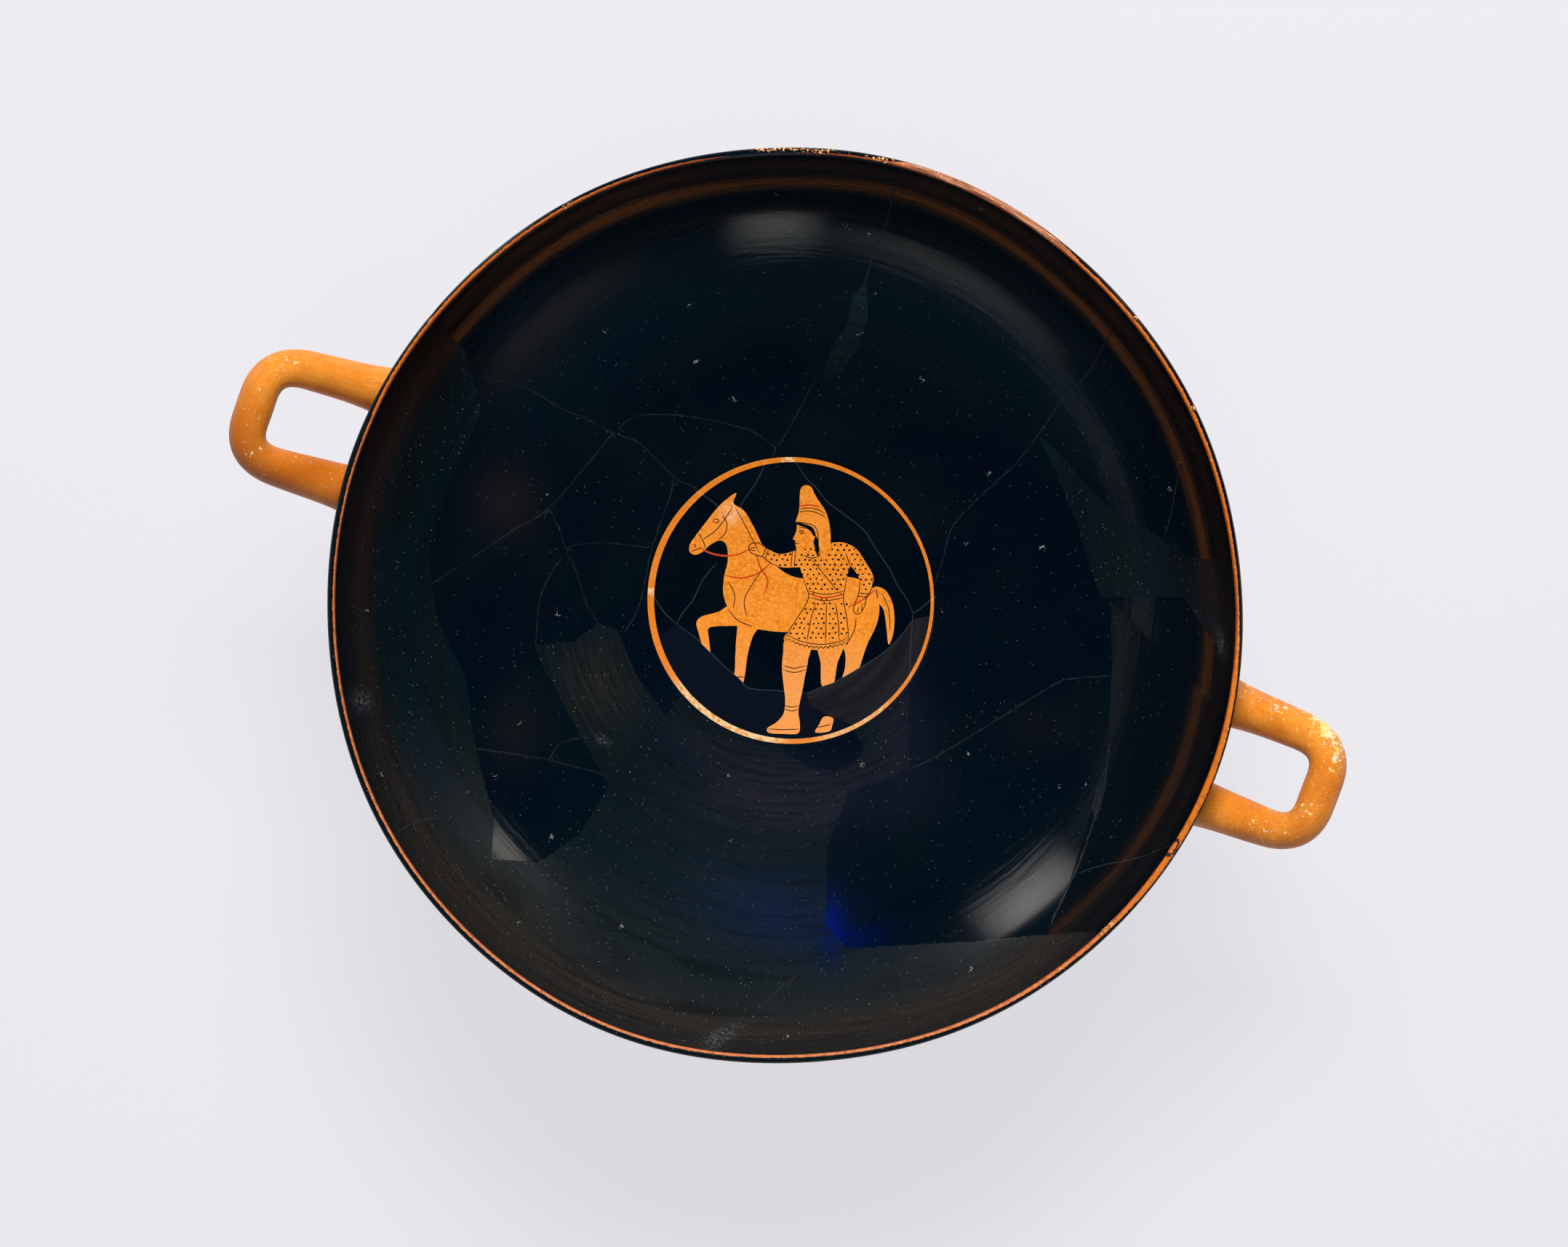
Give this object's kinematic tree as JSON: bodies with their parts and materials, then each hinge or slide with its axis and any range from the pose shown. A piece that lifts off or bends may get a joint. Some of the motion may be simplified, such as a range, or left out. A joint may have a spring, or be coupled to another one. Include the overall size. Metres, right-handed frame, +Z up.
{
  "type": "kylix",
  "caption": "Wide shallow stemmed drinking cup with squared loop handles, black glaze and a round red-figure picture in the floor.",
  "frame": {"origin": "centre of the ring the foot rests on, at the height of the surface it stands on", "axes": "+Z up along the cup's axis, +X through the middle of one handle, +Y across"},
  "size_m": [0.4202, 0.3314, 0.128],
  "materials": {
    "kylix_clay": "glossy blue-black slip over orange clay, left bare on the handles, the rim line, the foot's edge and the picture"
  },
  "bodies": {
    "root": {"kylix": "kylix_clay"}
  },
  "joints": []
}
